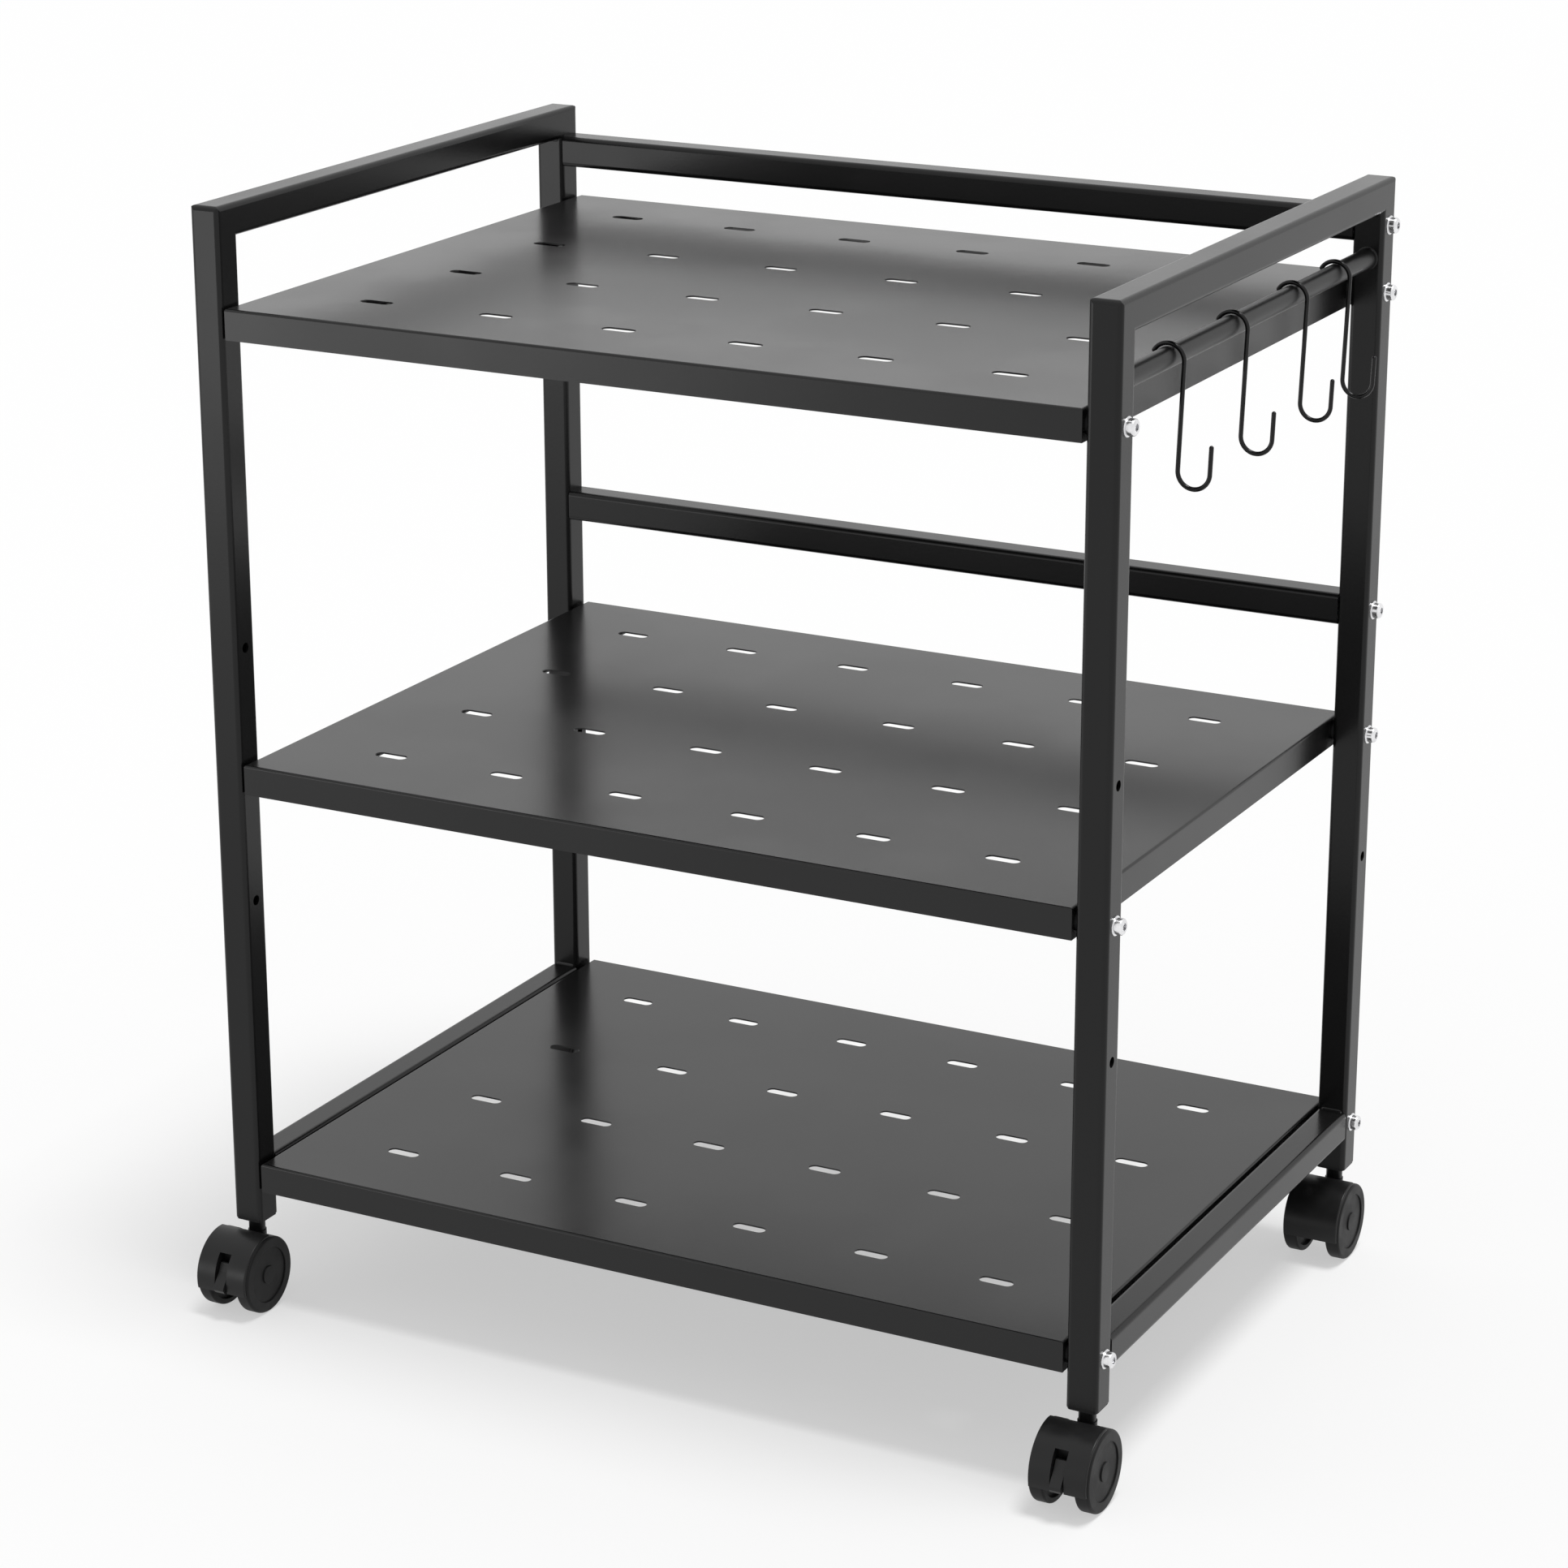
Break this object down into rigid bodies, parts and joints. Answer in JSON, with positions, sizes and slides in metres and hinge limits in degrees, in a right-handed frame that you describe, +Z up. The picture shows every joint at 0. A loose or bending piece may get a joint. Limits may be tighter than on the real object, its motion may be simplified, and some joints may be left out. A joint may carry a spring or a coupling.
{
  "type": "rolling storage cart",
  "caption": "Open rolling cart with slotted sheet shelves in a square-tube frame, side handles, a hook bar with wire hooks, and twin-wheel swivel casters.",
  "frame": {"origin": "on the floor, at the centre of the floor rectangle that the cart covers seen from above", "axes": "+X to the cart's right side, where the hook bar is; +Y to the back, where the rails are; +Z up"},
  "size_m": [0.629, 0.453, 0.709],
  "materials": {
    "frame_coat": "satin black powder coat",
    "tray_coat": "satin black powder coat",
    "bar_coat": "satin black powder coat",
    "hook_coat": "semi-gloss black coat",
    "bolt_steel": "bright zinc plate",
    "plain_steel": "plain turned steel",
    "stem_steel": "black oxide",
    "black_plastic": "moulded",
    "caster_hood": "satin moulded nylon",
    "caster_wheel": "satin moulded nylon",
    "brake_plastic": "satin moulded nylon"
  },
  "bodies": {
    "frame": {"left_front_post": "frame_coat", "left_rear_post": "frame_coat", "left_handle": "frame_coat", "left_side_rail": "frame_coat", "right_front_post": "frame_coat", "right_rear_post": "frame_coat", "right_handle": "frame_coat", "right_side_rail": "frame_coat", "upper_back_rail": "frame_coat", "middle_back_rail": "frame_coat", "top_tray": "tray_coat", "middle_tray": "tray_coat", "bottom_tray": "tray_coat", "hook_bar": "bar_coat", "top_tray_bolts": "bolt_steel", "top_tray_nuts": "bolt_steel", "top_tray_spacers": "black_plastic", "middle_tray_bolts": "bolt_steel", "middle_tray_nuts": "bolt_steel", "middle_tray_spacers": "black_plastic", "bottom_tray_bolts": "bolt_steel", "bottom_tray_nuts": "bolt_steel", "bottom_tray_spacers": "black_plastic", "rail_bolts": "bolt_steel", "rail_inserts": "plain_steel", "front_left_caster_socket": "black_plastic", "front_left_caster_stem": "stem_steel", "front_right_caster_socket": "black_plastic", "front_right_caster_stem": "stem_steel", "rear_left_caster_socket": "black_plastic", "rear_left_caster_stem": "stem_steel", "rear_right_caster_socket": "black_plastic", "rear_right_caster_stem": "stem_steel"},
    "front_left_caster": {"front_left_caster_hood": "caster_hood", "front_left_caster_axle": "plain_steel", "front_left_brake_pin": "plain_steel"},
    "front_left_caster_left_wheel": {"front_left_caster_left_wheel": "caster_wheel"},
    "front_left_caster_right_wheel": {"front_left_caster_right_wheel": "caster_wheel"},
    "front_left_brake_lever": {"front_left_brake_lever": "brake_plastic"},
    "front_right_caster": {"front_right_caster_hood": "caster_hood", "front_right_caster_axle": "plain_steel", "front_right_brake_pin": "plain_steel"},
    "front_right_caster_left_wheel": {"front_right_caster_left_wheel": "caster_wheel"},
    "front_right_caster_right_wheel": {"front_right_caster_right_wheel": "caster_wheel"},
    "front_right_brake_lever": {"front_right_brake_lever": "brake_plastic"},
    "rear_left_caster": {"rear_left_caster_hood": "caster_hood", "rear_left_caster_axle": "plain_steel"},
    "rear_left_caster_left_wheel": {"rear_left_caster_left_wheel": "caster_wheel"},
    "rear_left_caster_right_wheel": {"rear_left_caster_right_wheel": "caster_wheel"},
    "rear_right_caster": {"rear_right_caster_hood": "caster_hood", "rear_right_caster_axle": "plain_steel"},
    "rear_right_caster_left_wheel": {"rear_right_caster_left_wheel": "caster_wheel"},
    "rear_right_caster_right_wheel": {"rear_right_caster_right_wheel": "caster_wheel"},
    "wire_hook_1": {"wire_hook_1": "hook_coat"},
    "wire_hook_2": {"wire_hook_2": "hook_coat"},
    "wire_hook_3": {"wire_hook_3": "hook_coat"},
    "wire_hook_4": {"wire_hook_4": "hook_coat"}
  },
  "joints": [
    {"name": "front_left_swivel", "type": "hinge", "parent": "frame", "child": "front_left_caster", "pos_m": [-0.29519, -0.1815, 0.047], "axis": [0, 0, 1], "continuous": true},
    {"name": "front_left_caster_left_wheel_spin", "type": "hinge", "parent": "front_left_caster", "child": "front_left_caster_left_wheel", "pos_m": [-0.30984, -0.1975, 0.025], "axis": [1, 0, 0], "continuous": true},
    {"name": "front_left_caster_right_wheel_spin", "type": "hinge", "parent": "front_left_caster", "child": "front_left_caster_right_wheel", "pos_m": [-0.28054, -0.1975, 0.025], "axis": [1, 0, 0], "continuous": true},
    {"name": "front_left_brake_lever_lift", "type": "hinge", "parent": "front_left_caster", "child": "front_left_brake_lever", "pos_m": [-0.29519, -0.208, 0.025], "axis": [-1, 0, 0], "range_deg": [0, 12]},
    {"name": "front_right_swivel", "type": "hinge", "parent": "frame", "child": "front_right_caster", "pos_m": [0.28581, -0.1815, 0.047], "axis": [0, 0, 1], "continuous": true},
    {"name": "front_right_caster_left_wheel_spin", "type": "hinge", "parent": "front_right_caster", "child": "front_right_caster_left_wheel", "pos_m": [0.27116, -0.1975, 0.025], "axis": [1, 0, 0], "continuous": true},
    {"name": "front_right_caster_right_wheel_spin", "type": "hinge", "parent": "front_right_caster", "child": "front_right_caster_right_wheel", "pos_m": [0.30046, -0.1975, 0.025], "axis": [1, 0, 0], "continuous": true},
    {"name": "front_right_brake_lever_lift", "type": "hinge", "parent": "front_right_caster", "child": "front_right_brake_lever", "pos_m": [0.28581, -0.208, 0.025], "axis": [-1, 0, 0], "range_deg": [0, 12]},
    {"name": "rear_left_swivel", "type": "hinge", "parent": "frame", "child": "rear_left_caster", "pos_m": [-0.29519, 0.2165, 0.047], "axis": [0, 0, 1], "continuous": true},
    {"name": "rear_left_caster_left_wheel_spin", "type": "hinge", "parent": "rear_left_caster", "child": "rear_left_caster_left_wheel", "pos_m": [-0.30984, 0.2005, 0.025], "axis": [1, 0, 0], "continuous": true},
    {"name": "rear_left_caster_right_wheel_spin", "type": "hinge", "parent": "rear_left_caster", "child": "rear_left_caster_right_wheel", "pos_m": [-0.28054, 0.2005, 0.025], "axis": [1, 0, 0], "continuous": true},
    {"name": "rear_right_swivel", "type": "hinge", "parent": "frame", "child": "rear_right_caster", "pos_m": [0.28581, 0.2165, 0.047], "axis": [0, 0, 1], "continuous": true},
    {"name": "rear_right_caster_left_wheel_spin", "type": "hinge", "parent": "rear_right_caster", "child": "rear_right_caster_left_wheel", "pos_m": [0.27116, 0.2005, 0.025], "axis": [1, 0, 0], "continuous": true},
    {"name": "rear_right_caster_right_wheel_spin", "type": "hinge", "parent": "rear_right_caster", "child": "rear_right_caster_right_wheel", "pos_m": [0.30046, 0.2005, 0.025], "axis": [1, 0, 0], "continuous": true},
    {"name": "wire_hook_1_swing", "type": "hinge", "parent": "frame", "child": "wire_hook_1", "pos_m": [0.28581, -0.10346, 0.6607], "axis": [0, 1, 0], "range_deg": [-60, 28]},
    {"name": "wire_hook_2_swing", "type": "hinge", "parent": "frame", "child": "wire_hook_2", "pos_m": [0.28581, -0.01085, 0.6607], "axis": [0, 1, 0], "range_deg": [-60, 28]},
    {"name": "wire_hook_3_swing", "type": "hinge", "parent": "frame", "child": "wire_hook_3", "pos_m": [0.28581, 0.08176, 0.6607], "axis": [0, 1, 0], "range_deg": [-60, 28]},
    {"name": "wire_hook_4_swing", "type": "hinge", "parent": "frame", "child": "wire_hook_4", "pos_m": [0.28581, 0.15169, 0.6607], "axis": [0, 1, 0], "range_deg": [-60, 28]}
  ]
}
